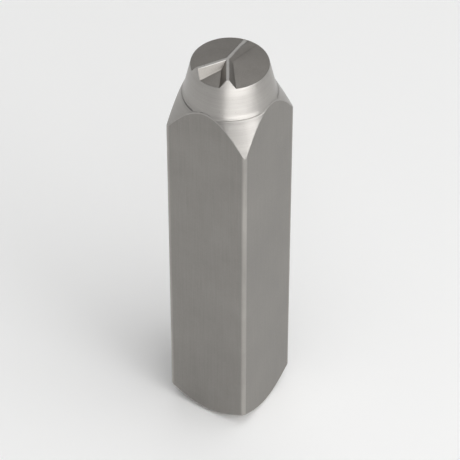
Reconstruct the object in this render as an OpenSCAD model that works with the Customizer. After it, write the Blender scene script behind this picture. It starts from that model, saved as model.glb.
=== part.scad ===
// Steel letter punch: a square bar with a turned head that carries one raised letter.
// It stands on its struck end, on the plane z = 0, with its axis along Z.
// The letter's stem points along +Y and its two arms open towards -Y.

/* [Shank] */
// Width of the square shank across its flats
shank_w = 13; // [11:0.5:16]
// Length from the struck end to the tops of the letter's strokes
punch_l = 66; // [45:1:100]
// Radius along the four long edges of the shank
edge_r = 0.4; // [0.2:0.05:1]

/* [Struck end] */
// Diameter of the flat face that the hammer strikes
strike_d = 11.6; // [8:0.1:12.5]
// Slope of the turned chamfer round that face, measured from the axis
strike_angle = 50; // [30:1:65]

/* [Turned head] */
// Diameter of the head at the foot of the letter
face_d = 10.9; // [9:0.1:12]
// Angle between the upper cone's side and the axis
upper_angle = 12.5; // [5:0.5:16]
// Angle between the lower cone's side and the axis
lower_angle = 26; // [20:0.5:40]
// Drop from the foot of the letter to the ring where the two cones meet
ring_drop = 4.7; // [3:0.1:8]
// Radius of the flare that leads the upper cone into the ring
flare_r = 3.4; // [1:0.1:5]
// Width of the fine line turned round the ring
line_w = 0.3; // [0.1:0.05:0.6]
// Depth of that line
line_depth = 0.12; // [0.05:0.01:0.3]

/* [Letter] */
// Height of the strokes above the floors at the rim
relief = 1.3; // [1:0.05:2.5]
// Width of the strokes across their flat tops
stroke_w = 0.4; // [0.2:0.05:1]
// Distance from the axis to the end of the stem
stem_reach = 4; // [2.5:0.1:4.6]
// Distance from the axis to the point where the three strokes meet
fork_drop = 0.6; // [0:0.1:1.5]
// Angle between each arm and the line of the stem
arm_angle = 32; // [25:1:45]
// Slope of the strokes' sides, measured from the face
side_slope = 54; // [45:1:75]
// Slope of the stem's end, measured from the face
end_slope = 45; // [35:1:70]
// Rise of the crowned floors from the rim to the middle, in degrees
floor_rise = 8; // [0:0.5:9]

/* [Hidden] */
$fn = 96;
FLARE_STEPS = 6;

face_r = face_d / 2;
rim_z = punch_l - relief;
ring_z = rim_z - ring_drop;
flare_h = flare_r * (sin(lower_angle) - sin(upper_angle));
flare_out = flare_r * (cos(upper_angle) - cos(lower_angle));
ring_r = face_r + (ring_drop - flare_h) * tan(upper_angle) + flare_out;
tip_r = face_r - relief * tan(upper_angle);
// a radius that clears the shank's corners
clear_r = shank_w * 0.75;
// a size that reaches past the head on every side
past = shank_w * 2;

STEM = 90;
ARMS = [-90 - arm_angle, -90 + arm_angle];

// the strokes on the right and left of each open side of the letter
SIDES = [[ARMS[1], STEM], [STEM, ARMS[0] + 360], ARMS];

// outline of the shank, with its four edges eased
module shank_section() {
    square([shank_w - 2 * edge_r, shank_w], center = true);
    square([shank_w, shank_w - 2 * edge_r], center = true);
    inset = shank_w / 2 - edge_r;
    for (x = [-inset, inset], y = [-inset, inset])
        translate([x, y])
            circle(r = edge_r);
}

// a point of the flare, where the side stands at this angle to the axis
function flare_point(angle) = [
    ring_r + flare_r * (cos(lower_angle) - cos(angle)),
    ring_z + flare_r * (sin(lower_angle) - sin(angle)),
];

// half section of everything that the lathe cuts: chamfer, lower cone, line, flare, upper cone
module turned_profile() {
    flare = [
        for (i = [0:FLARE_STEPS])
            flare_point(lower_angle + (upper_angle - lower_angle) * i / FLARE_STEPS)
    ];
    polygon(concat(
        [
            [0, 0],
            [strike_d / 2, 0],
            [clear_r, (clear_r - strike_d / 2) / tan(strike_angle)],
            [clear_r, ring_z - (clear_r - ring_r) / tan(lower_angle)],
            [ring_r + line_w * tan(lower_angle), ring_z - line_w],
            [ring_r + line_w / 2 * tan(lower_angle) - line_depth, ring_z - line_w / 2],
        ],
        flare,
        [[tip_r, punch_l], [0, punch_l]]
    ));
}

// the punch before its letter is cut
module blank() {
    intersection() {
        linear_extrude(height = punch_l)
            shank_section();
        rotate_extrude()
            turned_profile();
    }
}

// everything above a plane through the origin
module above() {
    translate([-past, -past, 0])
        cube([2 * past, 2 * past, past]);
}

// everything outside one side of a stroke; side is 1 for its left and -1 for its right
module beside_stroke(angle, side) {
    translate([0, -fork_drop, punch_l])
        rotate(angle)
            translate([0, side * stroke_w / 2, 0])
                rotate([-side * side_slope, 0, 0])
                    above();
}

// everything above the crowned floors that the letter stands on
module over_floors() {
    rotate_extrude()
        polygon([
            [0, rim_z + face_r * tan(floor_rise)],
            [past, rim_z + (face_r - past) * tan(floor_rise)],
            [past, punch_l + past],
            [0, punch_l + past],
        ]);
}

// everything outside the two strokes that bound an open side
module open_side(right, left) {
    intersection() {
        beside_stroke(right, 1);
        beside_stroke(left, -1);
    }
}

// everything past the end of the stem
module stem_end() {
    translate([0, stem_reach, punch_l])
        rotate([-end_slope, 0, 0])
            above();
}

// what is cut away round the letter
module letter_cut() {
    intersection() {
        over_floors();
        union() {
            for (s = SIDES)
                open_side(s[0], s[1]);
            stem_end();
        }
    }
}

module letter_punch() {
    color([0.72, 0.71, 0.69])
        difference() {
            blank();
            letter_cut();
        }
}

letter_punch();
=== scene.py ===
"""Steel letter punch: the looks of the part, built round the packed frame."""

import math

import bmesh
import bpy
import numpy as np
from bpy.props import FloatProperty, FloatVectorProperty, IntProperty, PointerProperty
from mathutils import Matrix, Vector


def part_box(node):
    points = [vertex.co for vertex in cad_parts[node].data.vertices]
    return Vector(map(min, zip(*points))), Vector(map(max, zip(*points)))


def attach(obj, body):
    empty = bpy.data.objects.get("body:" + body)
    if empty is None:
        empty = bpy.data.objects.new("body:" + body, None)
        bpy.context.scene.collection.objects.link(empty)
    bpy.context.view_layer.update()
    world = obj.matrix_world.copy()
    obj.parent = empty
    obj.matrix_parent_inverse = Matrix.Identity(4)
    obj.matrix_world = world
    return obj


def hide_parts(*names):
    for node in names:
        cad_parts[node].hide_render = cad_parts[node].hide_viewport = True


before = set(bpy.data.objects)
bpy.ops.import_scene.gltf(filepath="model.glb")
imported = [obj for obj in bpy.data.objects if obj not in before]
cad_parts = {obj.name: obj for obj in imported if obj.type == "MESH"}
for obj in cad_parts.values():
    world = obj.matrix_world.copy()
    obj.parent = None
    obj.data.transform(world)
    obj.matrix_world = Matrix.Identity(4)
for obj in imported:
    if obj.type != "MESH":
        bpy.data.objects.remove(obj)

bl_info = {
    "name": "Steel Letter Punch",
    "version": (1, 0, 0),
    "blender": (4, 5, 0),
    "location": "3D View > Sidebar > Punch",
    "description": "Builds a steel letter punch from its sizes and finishes",
    "category": "Add Mesh",
}

NODE = "letter_punch"
MM = 0.001
LOW, HIGH = (Vector(corner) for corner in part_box(NODE))

# zones of the punch's side, from the letter down to the middle of the struck end
CONE, FLARE, LINE, LOWER_CONE, ARCH, FLAT, SHOULDER, CHAMFER, STRUCK_EDGE, STRUCK = range(10)


def length(name, value, description):
    """A size in metres that a user may change."""
    return FloatProperty(name=name, description=description, default=value, min=0.0,
                         precision=5, subtype="DISTANCE", unit="LENGTH")


def angle(name, value, description):
    """An angle that a user gives in degrees and the code reads in radians."""
    return FloatProperty(name=name, description=description, default=math.radians(value),
                         min=0.0, max=math.pi / 2, subtype="ANGLE", unit="ROTATION")


def level(name, value, description):
    """A level that a user may change, from none to full."""
    return FloatProperty(name=name, description=description, default=value, min=0.0, max=1.0,
                         subtype="FACTOR")


def colour(name, value, description):
    """A colour that a user may change."""
    return FloatVectorProperty(name=name, description=description, default=value, size=3,
                               min=0.0, max=1.0, subtype="COLOR")


class PunchSizes(bpy.types.PropertyGroup):
    """Sizes of the bar, its turned head and its struck end"""

    width: length("Shank width", HIGH.x - LOW.x, "Width of the square shank across its flats")
    height: length("Punch length", HIGH.z - LOW.z, "Struck end to the tops of the strokes")
    edge: length("Edge radius", 0.4 * MM, "Radius along the shank's four long edges")
    struck: length("Struck face", 11.6 * MM, "Diameter of the flat face that is struck")
    chamfer: angle("Chamfer", 50, "Slope of the chamfer round the struck face, from the axis")
    face: length("Face", 10.9 * MM, "Diameter of the head at the foot of the letter")
    upper: angle("Upper cone", 12.5, "Angle between the upper cone's side and the axis")
    lower: angle("Lower cone", 26, "Angle between the lower cone's side and the axis")
    ring_drop: length("Ring drop", 4.7 * MM, "Foot of the letter to the ring between the cones")
    flare: length("Flare radius", 3.4 * MM, "Radius that leads the upper cone into the ring")
    line_width: length("Line width", 0.3 * MM, "Width of the fine line turned at the ring")
    line_depth: length("Line depth", 0.12 * MM, "Depth of that line")
    arch_ease: length("Arch easing", 0.14 * MM, "Softening where the lower cone meets a flat")
    end_ease: length("End easing", 0.25 * MM, "Softening of the struck end's edges")
    mark_depth: length("Mark depth", 0.004 * MM, "Height of the rings that the lathe left")
    mark_pitch: length("Mark pitch", 0.5 * MM, "Spacing of those rings")
    seed: IntProperty(name="Seed", description="Pattern of the lathe's rings", default=7)


class LetterSizes(bpy.types.PropertyGroup):
    """Sizes of the raised letter"""

    relief: length("Relief", 1.3 * MM, "Height of the strokes above the floors at the rim")
    stroke: length("Stroke width", 0.4 * MM, "Width of a stroke across its flat top")
    reach: length("Stem reach", 4.0 * MM, "Axis to the end of the stem")
    fork: length("Fork drop", 0.6 * MM, "Axis to the point where the three strokes meet")
    arm: angle("Arm angle", 32, "Angle between each arm and the line of the stem")
    side: angle("Side slope", 54, "Slope of the strokes' sides, from the face")
    end: angle("End slope", 45, "Slope of the stem's end, from the face")
    rise: angle("Floor rise", 8, "Rise of the floors from the rim to the middle")
    top_ease: length("Top easing", 0.05 * MM, "Softening of the strokes' edges")
    ridge_ease: length("Ridge easing", 0.08 * MM, "Softening where the stem's side meets its end")
    foot_ease: length("Foot easing", 0.12 * MM, "Softening where a stroke meets the floor")
    rim_ease: length("Rim easing", 0.06 * MM, "Softening round the rim of the face")


class PunchFinish(bpy.types.PropertyGroup):
    """Colours of the steel's four finishes"""

    turned: colour("Turned steel", (0.4, 0.385, 0.367), "Bright metal of the turned head")
    drawn: colour("Drawn steel", (0.296, 0.284, 0.267), "Satin metal of the shank's flats")
    milled: colour("Milled steel", (0.308, 0.292, 0.272), "Darker metal round the letter")
    ground: colour("Ground steel", (0.48, 0.47, 0.45), "Bright lands on top of the strokes")


class StageLook(bpy.types.PropertyGroup):
    """Floor, background and view of the studio"""

    floor: colour("Floor", (0.93, 0.93, 0.925), "Colour of the floor")
    reach: length("Floor radius", 0.6, "How far the floor reaches before it fades")
    sky: level("Sky", 0.28, "Brightness of the studio overhead")
    horizon: level("Horizon", 0.76, "Brightness of the studio along the horizon")
    haze: level("Haze", 0.35, "Height above the horizon where the studio is darkest")
    azimuth: FloatProperty(name="Azimuth", description="Side that the camera looks from",
                           default=math.radians(31.9), subtype="ANGLE", unit="ROTATION")
    elevation: angle("Elevation", 44.1, "Height that the camera looks from")
    distance: length("Distance", 0.39, "Camera to the middle of the picture")
    field: length("Field", 0.0665, "Width of what the picture shows at that distance")


class Field:
    """A value that changes over a surface. Sums on it add Math nodes to its graph."""

    def __init__(self, graph, socket):
        self.graph = graph
        self.socket = socket

    def math(self, operation, *values):
        """Add a Math node that works on some values in their order."""
        sockets = dict(enumerate(values))
        return self.graph.node("ShaderNodeMath", {"operation": operation}, sockets)

    def __add__(self, other):
        return self.math("ADD", self, other)

    def __radd__(self, other):
        return self.math("ADD", other, self)

    def __sub__(self, other):
        return self.math("SUBTRACT", self, other)

    def __rsub__(self, other):
        return self.math("SUBTRACT", other, self)

    def __mul__(self, other):
        return self.math("MULTIPLY", self, other)

    def __rmul__(self, other):
        return self.math("MULTIPLY", other, self)

    def __truediv__(self, other):
        return self.math("DIVIDE", self, other)

    def __rtruediv__(self, other):
        return self.math("DIVIDE", other, self)

    def __lt__(self, other):
        return self.math("LESS_THAN", self, other)

    def __gt__(self, other):
        return self.math("GREATER_THAN", self, other)

    def __abs__(self):
        return self.math("ABSOLUTE", self)

    def sin(self):
        return self.math("SINE", self)

    def cos(self):
        return self.math("COSINE", self)

    def tan(self):
        return self.math("TANGENT", self)

    def root(self):
        """Square root, with values below 0 taken as 0."""
        return self.math("SQRT", self.at_least(0.0))

    def at_least(self, other):
        return self.math("MAXIMUM", self, other)

    def at_most(self, other):
        return self.math("MINIMUM", self, other)

    def clamp(self):
        """The value, held between 0 and 1."""
        return self.at_least(0.0).at_most(1.0)

    def modulo(self, other):
        return self.math("FLOORED_MODULO", self, other)

    def pick(self, yes, no):
        """One value where this is 1 and the other where it is 0."""
        return no + (yes - no) * self


class Graph:
    """A node tree, and the one way that nodes are added to it."""

    def __init__(self, tree):
        self.tree = tree

    def node(self, kind, settings=None, sockets=None, output=0):
        """Add a node, with its settings first and then its sockets' values and links."""
        new = self.tree.nodes.new(kind)
        for key, value in (settings or {}).items():
            if key == "items":
                while len(new.index_switch_items) < value:
                    new.index_switch_items.new()
            else:
                setattr(new, key, value)
        for key, value in (sockets or {}).items():
            if isinstance(value, Field):
                self.tree.links.new(value.socket, new.inputs[key])
            else:
                new.inputs[key].default_value = value
        if not new.outputs:
            return new
        return Field(self, new.outputs[output])


def between(start, end, share):
    """The value at a share of the way from one value to another."""
    return start + (end - start) * share


def eased(before, corner, after, share):
    """A point of the curve that softens a corner between two points beside it."""
    first = (1.0 - share) * (1.0 - share)
    last = share * share
    return before * first + corner * (1.0 - first - last) + after * last


class LetterShape:
    """Heights of the raised letter, measured from the strokes' tops, in the plan of the face."""

    # a run that ends past the rim, and how often a search halves it
    FARTHEST = 10.0 * MM
    HALVINGS = 48
    # what keeps a stroke from counting for the headings that point away from it
    BEHIND = 9.0
    # the least sideways step of a heading that runs almost along an edge
    LEAST_STEP = 0.03
    # even headings over each side of the bar and over each of its corners
    SIDE_HEADINGS = 55
    CORNER_HEADINGS = 9
    # even headings stay this far from the ones that meet a corner of the letter
    CLEAR = math.radians(0.35)

    def __init__(self, punch, letter):
        self.punch = punch
        self.letter = letter
        self.face = punch.face / 2
        self.lean = math.tan(punch.upper)
        self.tip = self.face - letter.relief * self.lean
        stem = math.pi / 2
        self.strokes = [stem, -stem - letter.arm, -stem + letter.arm]
        self.centre = np.array([0.0, -letter.fork])

    def beside(self, heading):
        """Sideways distance per unit travelled from the nearest stroke, along a heading."""
        turns = [np.abs(np.sin(heading - s)) + self.BEHIND * (np.cos(heading - s) < 0)
                 for s in self.strokes]
        return np.minimum.reduce(turns)

    def place(self, heading, run):
        """Plan point at a distance from the strokes' meeting point."""
        step = np.stack([np.cos(heading), np.sin(heading)], -1)
        return self.centre + step * run[..., None]

    def slopes(self, heading, run):
        """Heights of the strokes' sides and of the stem's end."""
        letter = self.letter
        side = (letter.stroke / 2 - run * self.beside(heading)) * math.tan(letter.side)
        end = (letter.reach - self.place(heading, run)[..., 1]) * math.tan(letter.end)
        return side, end

    def stroke(self, heading, run):
        """Height of the strokes, as if their slopes went on above their flat tops."""
        return np.minimum(*self.slopes(heading, run))

    def end_over_side(self, heading, run):
        """How far the stem's end has cut below its side."""
        side, end = self.slopes(heading, run)
        return side - end

    def spread(self, heading, run):
        """Length along a heading that crosses a unit of the slope's own width."""
        side, end = self.slopes(heading, run)
        across = np.where(end < side, np.abs(np.sin(heading)), self.beside(heading))
        return 1.0 / np.maximum(across, self.LEAST_STEP)

    def floor(self, heading, run):
        """Height of the crowned floors."""
        radius = np.linalg.norm(self.place(heading, run), axis=-1)
        return (self.face - radius) * math.tan(self.letter.rise) - self.letter.relief

    def surface(self, heading, run):
        """Height of the strokes and the floors together."""
        top = np.minimum(self.stroke(heading, run), 0.0)
        return np.maximum(top, self.floor(heading, run))

    def over_side(self, heading, run):
        """How far the letter's surface lies above the turned side's own height there."""
        radius = np.linalg.norm(self.place(heading, run), axis=-1)
        return self.surface(heading, run) - ((self.face - radius) / self.lean - self.letter.relief)

    def crossing(self, rule, heading):
        """The run along each heading at which a rule passes from below zero to above it."""
        low = np.zeros_like(heading)
        high = np.full_like(heading, self.FARTHEST)
        for _ in range(self.HALVINGS):
            middle = (low + high) / 2
            past = rule(heading, middle) > 0
            high = np.where(past, middle, high)
            low = np.where(past, low, middle)
        return (low + high) / 2

    def corners(self):
        """Plan points where an edge of the letter reaches the rim or the stem's end."""
        letter = self.letter
        foot = letter.stroke / 2 + letter.relief / math.tan(letter.side)
        points = []
        for stroke in self.strokes:
            along = np.array([math.cos(stroke), math.sin(stroke)])
            left = np.array([-along[1], along[0]])
            for offset, radius in ((letter.stroke / 2, self.tip), (foot, self.face)):
                for sign in (-1, 1):
                    start = self.centre + left * offset * sign
                    ahead = -start @ along
                    ahead += math.sqrt((start @ along) ** 2 - start @ start + radius ** 2)
                    points.append(start + along * ahead)
        end_y = letter.reach + letter.relief / math.tan(letter.end)
        end_x = math.sqrt(self.face ** 2 - end_y ** 2)
        points += [np.array([sign * end_x, end_y]) for sign in (-1, 1)]
        points += [np.array([sign * letter.stroke / 2, letter.reach]) for sign in (-1, 1)]
        return points

    def headings(self):
        """Headings from the strokes' meeting point: even ones, and one for each corner."""
        half = self.punch.width / 2
        turn = math.atan2(half - self.punch.edge, half)
        side = np.linspace(-turn, turn, self.SIDE_HEADINGS)[:-1]
        corner = np.linspace(turn, math.pi / 2 - turn, self.CORNER_HEADINGS)[:-1]
        quarter = np.concatenate([side, corner])
        turns = np.concatenate([quarter + i * math.pi / 2 for i in range(4)])
        rim = np.stack([np.cos(turns), np.sin(turns)], -1) * self.face
        special = self.corners()
        # the middle of each open side
        stem, left, right = self.strokes
        for middle in ((stem + right) / 2, (left + right) / 2, (stem + left) / 2 + math.pi):
            special.append(self.centre + np.array([math.cos(middle), math.sin(middle)]))
        special = np.array(special) - self.centre
        fixed = np.arctan2(special[:, 1], special[:, 0])
        even = rim - self.centre
        even = np.arctan2(even[:, 1], even[:, 0])
        gap = np.abs((even[:, None] - fixed[None] + math.pi) % (2 * math.pi) - math.pi).min(1)
        return np.sort(np.concatenate([even[gap > self.CLEAR], fixed]))


# where rows lie on a stroke's top, on its sides, on the floor and round the rim
TOP_SHARES = (0.5, 0.9)
SLOPE_SHARES = (0.06, 0.5, 0.94)
FLOOR_SHARES = (0.03, 0.2, 0.4, 0.6, 0.8, 0.97)
RIM_SHARES = (0.0, 0.25, 0.5, 0.75, 1.0)
# rows that ease an edge of the letter
BEND_ROWS = 4
# rows of faces with the bright finish: the strokes' tops with their edges, and the rim
TOP_ROWS = len(TOP_SHARES) + BEND_ROWS
RIM_ROWS = len(RIM_SHARES) - 1
# an easing takes up at most this share of the surface beside it
MOST_EASED = 0.45
# the first row is a tiny ring, which closes when doubles are merged
FIRST_RUN = 1e-9


def letter_rows(punch, letter):
    """Rows of points from the strokes' meeting point out to the turned side."""
    shape = LetterShape(punch, letter)
    heading = shape.headings()
    # how far the rim, a stroke's top edge and its foot lie along each heading
    rim = shape.crossing(shape.over_side, heading)
    top = shape.crossing(lambda h, run: -shape.stroke(h, run), heading)
    foot = shape.crossing(lambda h, run: shape.floor(h, run) - shape.stroke(h, run), heading)
    top = np.minimum(top, rim)
    foot = np.minimum(foot, rim)
    # how far the easings reach to both sides of the top edge and the foot
    top_ease = letter.top_ease * shape.spread(heading, top)
    foot_ease = letter.foot_ease * shape.spread(heading, foot)
    top_in = np.minimum(top_ease, MOST_EASED * top)
    top_out = np.minimum(top_ease, MOST_EASED * (foot - top))
    foot_in = np.minimum(foot_ease, MOST_EASED * (foot - top))
    foot_out = np.minimum(foot_ease, MOST_EASED * (rim - foot))
    edge = rim - letter.rim_ease

    def point(run, last=edge):
        """A row of points on the letter's surface, none of them past the last run."""
        run = np.minimum(run, last)
        return np.concatenate([shape.place(heading, run),
                               shape.surface(heading, run)[..., None] + punch.height], -1)

    def bend(run, before, after):
        """Rows that ease an edge of the letter."""
        ends = point(run - before), point(run), point(run + after)
        return [eased(*ends, share) for share in np.linspace(0, 1, BEND_ROWS)]

    def spaced(first, last, shares):
        """Rows at some shares of the way from one run to another."""
        return [point(between(first, last, share)) for share in shares]

    # the ridge where the stem's side meets its end, which crosses the slope
    start, end = top + top_out, foot - foot_in
    ridge = np.clip(shape.crossing(shape.end_over_side, heading), start, end)
    ridge_in = np.minimum(letter.ridge_ease, MOST_EASED * (ridge - start))
    ridge_out = np.minimum(letter.ridge_ease, MOST_EASED * (end - ridge))

    rows = [point(np.full_like(top, FIRST_RUN))]
    rows += spaced(0.0, top - top_in, TOP_SHARES)
    rows += bend(top, top_in, top_out)
    rows += spaced(start, ridge - ridge_in, SLOPE_SHARES)
    rows += bend(ridge, ridge_in, ridge_out)
    rows += spaced(ridge + ridge_out, end, SLOPE_SHARES)
    rows += bend(foot, foot_in, foot_out)
    rows += spaced(foot + foot_out, edge, FLOOR_SHARES)
    # the rim, rounded over from the floor to the turned side
    corner = point(rim, rim)
    outward = corner[:, :2] / np.linalg.norm(corner[:, :2], axis=-1, keepdims=True)
    down = np.concatenate([outward * math.tan(punch.upper), -np.ones((len(outward), 1))], -1)
    down *= math.cos(punch.upper)
    side = corner + down * letter.rim_ease
    rows += [eased(point(edge), corner, side, share) for share in RIM_SHARES]
    return rows


def even_shares(count, margin=None):
    """Evenly spaced shares, with a narrow row beside each end where a margin is given."""
    shares = list(np.linspace(0.0, 1.0, count))
    if margin:
        shares = sorted(shares + [margin, 1.0 - margin])
    return shares


# where the rows of each zone of the side lie
ZONE_ROWS = {
    CONE: even_shares(44),
    FLARE: even_shares(9),
    LINE: even_shares(5),
    LOWER_CONE: even_shares(34, margin=0.008),
    ARCH: even_shares(5),
    FLAT: even_shares(24, margin=0.0012),
    SHOULDER: even_shares(4),
    CHAMFER: even_shares(4, margin=0.04),
    STRUCK_EDGE: even_shares(5),
    STRUCK: [0.01, 0.3, 0.6, 0.9, 1.0],
}


def side_sheet(ring):
    """A sheet of rows and columns whose points say where on the punch's side they belong."""
    rows = [(zone, share) for zone, shares in ZONE_ROWS.items() for share in shares]
    count = len(ring)
    sheet = bpy.data.meshes.new("side_sheet")
    points = [(c * MM, 0.0, -r * MM) for r in range(len(rows)) for c in range(count)]
    faces = []
    for r in range(len(rows) - 1):
        for c in range(count):
            n = (c + 1) % count
            faces.append((r * count + c, (r + 1) * count + c, (r + 1) * count + n, r * count + n))
    sheet.from_pydata(points, [], faces)
    columns = {"turn": np.arctan2(ring[:, 1], ring[:, 0]), "top": ring[:, 2]}
    for name, values in columns.items():
        layer = sheet.attributes.new(name, "FLOAT", "POINT")
        layer.data.foreach_set("value", np.tile(values, len(rows)))
    share = sheet.attributes.new("share", "FLOAT", "POINT")
    share.data.foreach_set("value", np.repeat([s for _, s in rows], count))
    zone = sheet.attributes.new("zone", "INT", "POINT")
    zone.data.foreach_set("value", np.repeat([z for z, _ in rows], count))
    return sheet


# the node tree's inputs, and the punch's sizes that they take
SIDE_INPUTS = [
    ("Shank Width", "width"), ("Edge Radius", "edge"), ("Punch Length", "height"),
    ("Struck Face", "struck"), ("Chamfer", "chamfer"), ("Face", "face"),
    ("Upper Cone", "upper"), ("Lower Cone", "lower"), ("Ring Drop", "ring_drop"),
    ("Flare Radius", "flare"), ("Line Width", "line_width"), ("Line Depth", "line_depth"),
    ("Arch Easing", "arch_ease"), ("End Easing", "end_ease"),
    ("Mark Depth", "mark_depth"), ("Mark Pitch", "mark_pitch"), ("Seed", "seed"),
]


# how fast the easing of the arches varies round the bar, its least share and what is added
EASE_WAVES = 9.0
EASE_LEAST = 0.6
EASE_MORE = 0.8
# how far one step of the seed moves the pattern of the lathe's rings
SEED_STEP = 3.1
# zones are told apart halfway between their numbers
HALF_ZONE = 0.5


def side_tree(finish):
    """Nodes that turn a sheet into the side of the punch: a square bar with a turned head."""
    tree = bpy.data.node_groups.new("Turn And Flatten", "GeometryNodeTree")
    tree.interface.new_socket("Sheet", in_out="INPUT", socket_type="NodeSocketGeometry")
    for name, _ in SIDE_INPUTS:
        kind = "NodeSocketInt" if name == "Seed" else "NodeSocketFloat"
        tree.interface.new_socket(name, in_out="INPUT", socket_type=kind)
    tree.interface.new_socket("Relief", in_out="INPUT", socket_type="NodeSocketFloat")
    tree.interface.new_socket("Punch", in_out="OUTPUT", socket_type="NodeSocketGeometry")
    graph = Graph(tree)
    entry = tree.nodes.new("NodeGroupInput")
    size = {socket.name: Field(graph, socket) for socket in entry.outputs if socket.name}

    def layer(name, kind="FLOAT"):
        """A layer of the sheet's points."""
        return graph.node("GeometryNodeInputNamedAttribute", {"data_type": kind}, {"Name": name})

    turn, top, share, zone = layer("turn"), layer("top"), layer("share"), layer("zone", "INT")

    # distance from the axis to the square bar's surface
    half = size["Shank Width"] / 2.0
    inset = half - size["Edge Radius"]
    quarter = turn.modulo(math.pi / 2)
    off = quarter.at_most(math.pi / 2 - quarter)
    flat = half / off.cos()
    across = inset * (off.cos() - off.sin())
    corner = inset * (off.cos() + off.sin())
    corner = corner + (size["Edge Radius"] * size["Edge Radius"] - across * across).root()
    bar = (half * off.tan() < inset).pick(flat, corner)

    # the turned outline: upper cone, flare, ring and lower cone
    face = size["Face"] / 2.0
    upper, lower, flare = size["Upper Cone"], size["Lower Cone"], size["Flare Radius"]
    rim_z = size["Punch Length"] - size["Relief"]
    ring_z = rim_z - size["Ring Drop"]
    flare_z = ring_z + flare * (lower.sin() - upper.sin())
    ring = face + (rim_z - flare_z) * upper.tan() + flare * (upper.cos() - lower.cos())
    heart = ring + flare * lower.cos()
    heart_z = ring_z + flare * lower.sin()

    def section(radius):
        """Height of the turned outline at a radius past the start of the flare."""
        curve = heart_z - (flare * flare - (heart - radius) * (heart - radius)).root()
        slope = ring_z - (radius - ring) / lower.tan()
        return (radius < ring).pick(curve, slope)

    # the easing along the arches varies a little, as a hand-fed bar leaves it
    wobble = graph.node("ShaderNodeTexNoise", {"noise_dimensions": "1D"},
                        {"W": turn * EASE_WAVES + size["Seed"], "Scale": 1.0, "Detail": 2.0})
    ease = size["Arch Easing"] * (EASE_LEAST + wobble * EASE_MORE)
    arch_in = bar - ease * lower.sin()
    arch_z = section(bar)
    lip = (ring + size["Line Width"] * lower.tan()).at_most(arch_in)

    # radius and height along each zone
    cone_z = between(top, flare_z, share)
    cone_r = face + (rim_z - cone_z) * upper.tan()
    bend = between(upper, lower, share)
    flare_r = (heart - flare * bend.cos()).at_most(arch_in)
    line_r = between(ring.at_most(arch_in), lip, share)
    sunk = (1.0 - abs(share * 2.0 - 1.0)) * size["Line Depth"]
    sunk = sunk * ((arch_in - ring) / size["Line Width"]).clamp()
    lower_r = between(lip, arch_in, share)
    shoulder = size["Chamfer"]
    struck = size["Struck Face"] / 2.0
    shoulder_z = (bar - struck) / shoulder.tan()
    soft = size["End Easing"]
    chamfer_r = between(bar - soft * shoulder.sin(), struck + soft * shoulder.sin(), share)
    zones = {
        CONE: (cone_r, cone_z),
        FLARE: (flare_r, section(flare_r)),
        LINE: (line_r - sunk, section(line_r)),
        LOWER_CONE: (lower_r, section(lower_r)),
        ARCH: (eased(arch_in, bar, bar, share),
               eased(section(arch_in), arch_z, arch_z - ease, share)),
        FLAT: (bar, between(arch_z - ease, shoulder_z + soft, share)),
        SHOULDER: (eased(bar, bar, bar - soft * shoulder.sin(), share),
                   eased(shoulder_z + soft, shoulder_z, shoulder_z - soft * shoulder.cos(), share)),
        CHAMFER: (chamfer_r, (chamfer_r - struck) / shoulder.tan()),
        STRUCK_EDGE: (eased(struck + soft * shoulder.sin(), struck, struck - soft, share),
                      eased(soft * shoulder.cos(), share * 0.0, share * 0.0, share)),
        STRUCK: ((struck - soft) * (1.0 - share), share * 0.0),
    }

    def choose(part):
        """The radius or the height that belongs to each point's zone."""
        values = {key + 1: zones[key][part] for key in zones}
        return graph.node("GeometryNodeIndexSwitch", {"data_type": "FLOAT", "items": len(zones)},
                          {0: zone, **values})

    radius, height = choose(0), choose(1)
    # the rings that the lathe's tool left, which fade out at the rim
    rings = graph.node("ShaderNodeTexNoise", {"noise_dimensions": "1D"},
                       {"W": height / size["Mark Pitch"] + size["Seed"] * SEED_STEP,
                        "Scale": 1.0, "Detail": 3.0, "Roughness": 0.6})
    turned = (zone < ARCH - HALF_ZONE) * ((top - height) / size["Mark Pitch"]).clamp()
    radius = radius + (rings - 0.5) * size["Mark Depth"] * 2.0 * turned
    place = graph.node("ShaderNodeCombineXYZ", None,
                       {"X": radius * turn.cos(), "Y": radius * turn.sin(), "Z": height})
    moved = graph.node("GeometryNodeSetPosition", None,
                       {"Geometry": size["Sheet"], "Position": place})
    whole = graph.node("GeometryNodeRealizeInstances", None, {"Geometry": moved})
    for steel, first in finish:
        whole = graph.node("GeometryNodeSetMaterial", None,
                           {"Geometry": whole, "Selection": zone > first - HALF_ZONE,
                            "Material": steel})
    leave = tree.nodes.new("NodeGroupOutput")
    tree.links.new(whole.socket, leave.inputs[0])
    return tree


def shape_side(sheet, punch, letter, finish):
    """The punch's side as a plain mesh, worked out by the node tree."""
    tree = side_tree(finish)
    holder = bpy.data.objects.new("side_holder", sheet)
    bpy.context.scene.collection.objects.link(holder)
    modifier = holder.modifiers.new("Turn And Flatten", "NODES")
    modifier.node_group = tree
    values = {name: getattr(punch, key) for name, key in SIDE_INPUTS}
    values["Relief"] = letter.relief
    for item in tree.interface.items_tree:
        if item.item_type == "SOCKET" and item.in_out == "INPUT" and item.name in values:
            modifier[item.identifier] = values[item.name]
    holder.update_tag()
    graph = bpy.context.evaluated_depsgraph_get()
    side = bpy.data.meshes.new_from_object(holder.evaluated_get(graph))
    bpy.data.objects.remove(holder)
    bpy.data.meshes.remove(sheet)
    return side


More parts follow.
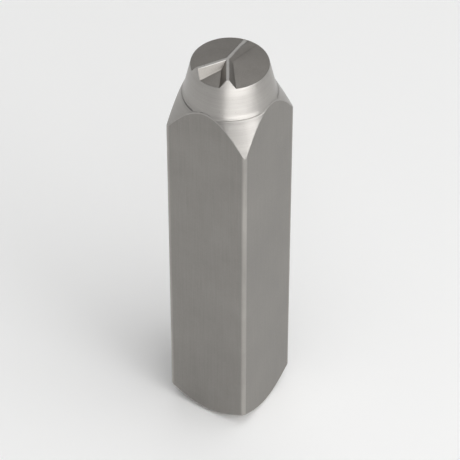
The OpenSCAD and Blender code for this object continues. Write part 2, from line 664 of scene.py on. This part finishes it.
def steel_material(name, base, build):
    """A bare steel whose colour, roughness and bump come from a finish's own pattern."""
    material = bpy.data.materials.new(name)
    material.use_nodes = True
    tree = material.node_tree
    tree.nodes.clear()
    graph = Graph(tree)
    spot = graph.node("ShaderNodeTexCoord", output="Object")
    tone, rough, bump = build(graph, spot)
    shade = graph.node("ShaderNodeVectorMath", {"operation": "SCALE"},
                       {0: tuple(base), "Scale": tone})
    normal = graph.node("ShaderNodeBump", None, {"Strength": 1.0, "Distance": 1.0, "Height": bump})
    surface = graph.node("ShaderNodeBsdfPrincipled", None,
                         {"Base Color": shade, "Metallic": 1.0, "Roughness": rough,
                          "Normal": normal})
    graph.node("ShaderNodeOutputMaterial", None, {"Surface": surface})
    return material


def noise(graph, place, scale, detail=3.0, stretch=(1.0, 1.0, 1.0)):
    """Smooth noise from 0 to 1, with its pattern stretched along the axes."""
    moved = graph.node("ShaderNodeMapping", None, {"Vector": place, "Scale": stretch})
    return graph.node("ShaderNodeTexNoise", None,
                      {"Vector": moved, "Scale": scale, "Detail": detail, "Roughness": 0.55})


def sway(pattern, amount):
    """A pattern from 0 to 1 as a change to both sides of a value."""
    return (pattern - 0.5) * amount


def split(graph, spot):
    """The X, Y and Z of a place."""
    apart = graph.node("ShaderNodeSeparateXYZ", None, {0: spot}).socket.node
    return [Field(graph, output) for output in apart.outputs]


# spacing of the finest rings on the turned steel
FEED = 0.13 * MM
# width and depth of the steel's slight roll towards the rim of the face
ROLL_WIDTH = 1.4 * MM
ROLL_DEPTH = 0.045 * MM


def turned_finish(graph, spot):
    """Fine rings round the axis, as a lathe tool leaves them."""
    z = split(graph, spot)[2]
    round_spot = graph.node("ShaderNodeCombineXYZ", None, {"Z": z})
    fine = noise(graph, round_spot, 9000.0, 2.0)
    broad = noise(graph, round_spot, 1500.0, 2.0)
    cloud = noise(graph, spot, 260.0)
    specks = noise(graph, spot, 5200.0, 1.0)
    tone = 0.94 + sway(fine, 0.3) + sway(broad, 0.25) + sway(cloud, 0.2)
    tone = tone - ((specks - 0.7) * 8.0).clamp() * 0.3
    rough = 0.35 + sway(cloud, 0.2) + sway(fine, 0.12)
    feed = (z * (2 * math.pi / FEED) + broad * 5.0).sin()
    bump = feed * broad * (0.0028 * MM) + fine * (0.005 * MM) + broad * (0.006 * MM)
    bump = bump + specks * (0.0006 * MM)
    rim = HIGH.z - bpy.context.scene.punch_letter.relief
    roll = ((z - rim) / ROLL_WIDTH + 1.0).clamp()
    bump = bump - roll * roll * ROLL_DEPTH
    return tone, rough, bump


# where rubbing starts and how fast it grows, as shares of the way out to a long edge
RUBBED_FROM = 0.95
RUBBED_OVER = 0.024


def drawn_finish(graph, spot):
    """Fine lines along the bar, a faint cloudiness, and long edges that use has rubbed bright."""
    x, y, _ = split(graph, spot)
    corner = (abs(x) + abs(y)) / (HIGH.x - LOW.x)
    patches = noise(graph, spot, 700.0, 2.0, (1.0, 1.0, 0.3))
    rubbed = ((corner - RUBBED_FROM) / RUBBED_OVER).clamp() * (0.45 + patches)
    lines = noise(graph, spot, 1.0, 3.0, (5200.0, 5200.0, 130.0))
    cloud = noise(graph, spot, 130.0)
    grain = noise(graph, spot, 4200.0, 2.0)
    tone = 0.92 + sway(lines, 0.22) + sway(cloud, 0.35) + sway(grain, 0.12)
    tone = tone + rubbed * 0.4
    rough = 0.44 + sway(cloud, 0.2) + sway(lines, 0.1) - rubbed * 0.1
    bump = lines * (0.0035 * MM) + grain * (0.002 * MM)
    return tone, rough, bump


def milled_finish(graph, spot):
    """Even satin floors, with the faint grain of a fine cutter."""
    grain = noise(graph, spot, 7000.0, 4.0)
    cloud = noise(graph, spot, 420.0)
    tone = 0.93 + sway(cloud, 0.3) + sway(grain, 0.3)
    rough = 0.42 + sway(cloud, 0.15)
    bump = grain * (0.007 * MM)
    return tone, rough, bump


def ground_finish(graph, spot):
    """Bright narrow lands, a little scuffed by use."""
    scuff = noise(graph, spot, 900.0, 3.0)
    grain = noise(graph, spot, 5200.0, 2.0)
    tone = 0.95 + sway(scuff, 0.4)
    rough = 0.34 + sway(scuff, 0.3)
    bump = grain * (0.001 * MM)
    return tone, rough, bump


# points nearer than this are joined into one
MERGE = 3e-8
# layers of the sheet that the finished mesh doesn't need
SHEET_LAYERS = ("turn", "top", "share", "zone")


def join_letter(side, rows, milled, ground):
    """One closed mesh of the punch's side and the rows of the letter's surface."""
    build = bmesh.new()
    build.from_mesh(side)
    slots = [*side.materials, milled, ground]
    count = len(rows[0])
    points = [[build.verts.new(p) for p in row] for row in rows]
    for number, (inner, outer) in enumerate(zip(points, points[1:])):
        bright = number < TOP_ROWS or number >= len(rows) - RIM_ROWS
        for c in range(count):
            n = (c + 1) % count
            made = build.faces.new((inner[c], outer[c], outer[n], inner[n]))
            made.material_index = slots.index(ground if bright else milled)
    bmesh.ops.remove_doubles(build, verts=build.verts, dist=MERGE)
    bmesh.ops.recalc_face_normals(build, faces=build.faces)
    gaps = sum(not edge.is_manifold for edge in build.edges)
    if gaps:
        raise RuntimeError(f"the punch's surface has {gaps} open edges")
    mesh = bpy.data.meshes.new("punch_body")
    build.to_mesh(mesh)
    build.free()
    for slot in slots:
        mesh.materials.append(slot)
    for face in mesh.polygons:
        face.use_smooth = True
    for name in SHEET_LAYERS:
        layer = mesh.attributes.get(name)
        if layer:
            mesh.attributes.remove(layer)
    return mesh


class PUNCH_OT_body(bpy.types.Operator):
    """Build the punch: its square shank, its turned head and its raised letter"""

    bl_idname = "punch.body"
    bl_label = "Letter Punch"

    def execute(self, context):
        scene = context.scene
        punch, letter, look = scene.punch_sizes, scene.punch_letter, scene.punch_finish
        turned = steel_material("turned_steel", look.turned, turned_finish)
        drawn = steel_material("drawn_steel", look.drawn, drawn_finish)
        milled = steel_material("milled_steel", look.milled, milled_finish)
        ground = steel_material("ground_steel", look.ground, ground_finish)
        rows = letter_rows(punch, letter)
        side = shape_side(side_sheet(rows[-1]), punch, letter,
                          [(turned, CONE), (drawn, FLAT), (turned, SHOULDER)])
        mesh = join_letter(side, rows, milled, ground)
        bpy.data.meshes.remove(side)
        piece = bpy.data.objects.new("punch_body", mesh)
        scene.collection.objects.link(piece)
        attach(piece, "root")
        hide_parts(NODE)
        return {"FINISHED"}


# the middle of the letter's face, which the soft lights point at
HEAD = Vector(((LOW.x + HIGH.x) / 2, (LOW.y + HIGH.y) / 2, HIGH.z))
# each soft light's azimuth, elevation, distance, width, height, brightness and spread
SOFTBOXES = [
    ("front left", 34.0, -6.0, 0.28, 0.12, 0.07, 0.85, 80.0),
    ("front middle", 57.0, -6.0, 0.28, 0.12, 0.07, 0.85, 80.0),
    ("front right", 80.0, -6.0, 0.28, 0.12, 0.07, 0.65, 80.0),
    ("right", 80.0, 22.0, 0.42, 0.2, 0.2, 2.6, 180.0),
    ("back", 212.0, 44.0, 0.8, 0.5, 0.5, 0.55, 180.0),
    ("top", 75.0, 64.0, 2.8, 3.5, 3.5, 1.75, 180.0),
]


def facing(azimuth, elevation):
    """Direction from the object towards something, with azimuth 0 in front of it."""
    return Vector((math.sin(azimuth) * math.cos(elevation),
                   -math.cos(azimuth) * math.cos(elevation), math.sin(elevation)))


class PUNCH_OT_stage(bpy.types.Operator):
    """Set the floor, the soft light and the camera"""

    bl_idname = "punch.stage"
    bl_label = "Studio"

    def execute(self, context):
        scene = context.scene
        look = scene.punch_stage
        self.lay_floor(scene, look)
        self.light(scene, look)
        self.aim(scene, look)
        scene.view_settings.view_transform = "Standard"
        return {"FINISHED"}

    def lay_floor(self, scene, look):
        """A round floor under the punch."""
        sides = 96
        mesh = bpy.data.meshes.new("floor")
        turns = [2 * math.pi * i / sides for i in range(sides)]
        points = [(math.cos(t) * look.reach, math.sin(t) * look.reach, 0) for t in turns]
        mesh.from_pydata(points, [], [range(sides)])
        floor = bpy.data.objects.new("floor", mesh)
        scene.collection.objects.link(floor)
        material = bpy.data.materials.new("floor_paint")
        material.use_nodes = True
        surface = material.node_tree.nodes["Principled BSDF"]
        surface.inputs["Base Color"].default_value = (*look.floor, 1.0)
        surface.inputs["Roughness"].default_value = 0.9
        mesh.materials.append(material)

    def light(self, scene, look):
        """A studio that is brightest along the horizon, and the soft lights."""
        world = bpy.data.worlds.new("studio")
        scene.world = world
        world.use_nodes = True
        world.node_tree.nodes.clear()
        graph = Graph(world.node_tree)
        spot = graph.node("ShaderNodeTexCoord", output="Generated")
        height = split(graph, spot)[2]
        low = 1.0 - (height / look.haze).clamp()
        glow = graph.node("ShaderNodeBackground", None,
                          {"Color": (1.0, 1.0, 1.0, 1.0),
                           "Strength": between(look.sky, look.horizon, low * low)})
        graph.node("ShaderNodeOutputWorld", None, {"Surface": glow})
        for name, *place in SOFTBOXES:
            self.softbox(scene, name, *place)

    def softbox(self, scene, name, azimuth, elevation, distance, width, height, bright, spread):
        """One flat light that points at the head, and that the camera doesn't see."""
        lamp = bpy.data.lights.new(name, "AREA")
        lamp.shape = "RECTANGLE"
        lamp.size = width
        lamp.size_y = height
        lamp.energy = bright * math.pi * width * height
        lamp.spread = math.radians(spread)
        holder = bpy.data.objects.new(name, lamp)
        back = facing(math.radians(azimuth), math.radians(elevation))
        holder.location = HEAD + back * distance
        holder.rotation_euler = back.to_track_quat("Z", "Y").to_euler()
        holder.visible_camera = False
        scene.collection.objects.link(holder)

    def aim(self, scene, look):
        """A level camera that shows the whole punch."""
        camera = bpy.data.cameras.new("camera")
        holder = bpy.data.objects.new("camera", camera)
        scene.collection.objects.link(holder)
        back = facing(look.azimuth, look.elevation)
        middle = (LOW + HIGH) / 2
        holder.location = middle + back * look.distance
        holder.rotation_euler = back.to_track_quat("Z", "Y").to_euler()
        camera.lens = camera.sensor_width * look.distance / look.field
        camera.clip_start = 0.01
        camera.clip_end = 20.0
        scene.camera = holder


class PUNCH_PT_panel(bpy.types.Panel):
    """The punch's sizes, finishes and studio in the sidebar"""

    bl_idname = "PUNCH_PT_panel"
    bl_label = "Letter Punch"
    bl_space_type = "VIEW_3D"
    bl_region_type = "UI"
    bl_category = "Punch"

    def draw(self, context):
        layout = self.layout
        for name, group in GROUPS.items():
            box = layout.box()
            box.label(text=group.__doc__)
            for key in group.__annotations__:
                box.prop(getattr(context.scene, name), key)
        for operator in (PUNCH_OT_body, PUNCH_OT_stage):
            layout.operator(operator.bl_idname)


GROUPS = {
    "punch_sizes": PunchSizes,
    "punch_letter": LetterSizes,
    "punch_finish": PunchFinish,
    "punch_stage": StageLook,
}
CLASSES = (*GROUPS.values(), PUNCH_OT_body, PUNCH_OT_stage, PUNCH_PT_panel)


def register():
    """Add the classes to Blender, and the groups of sizes to its scenes."""
    for item in CLASSES:
        bpy.utils.register_class(item)
    for name, group in GROUPS.items():
        setattr(bpy.types.Scene, name, PointerProperty(type=group))


def unregister():
    """Take out what register added."""
    for name in GROUPS:
        delattr(bpy.types.Scene, name)
    for item in reversed(CLASSES):
        bpy.utils.unregister_class(item)


def main():
    """Build the punch on its stage."""
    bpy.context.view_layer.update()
    register()
    bpy.ops.punch.body()
    bpy.ops.punch.stage()


if __name__ == "__main__":
    main()
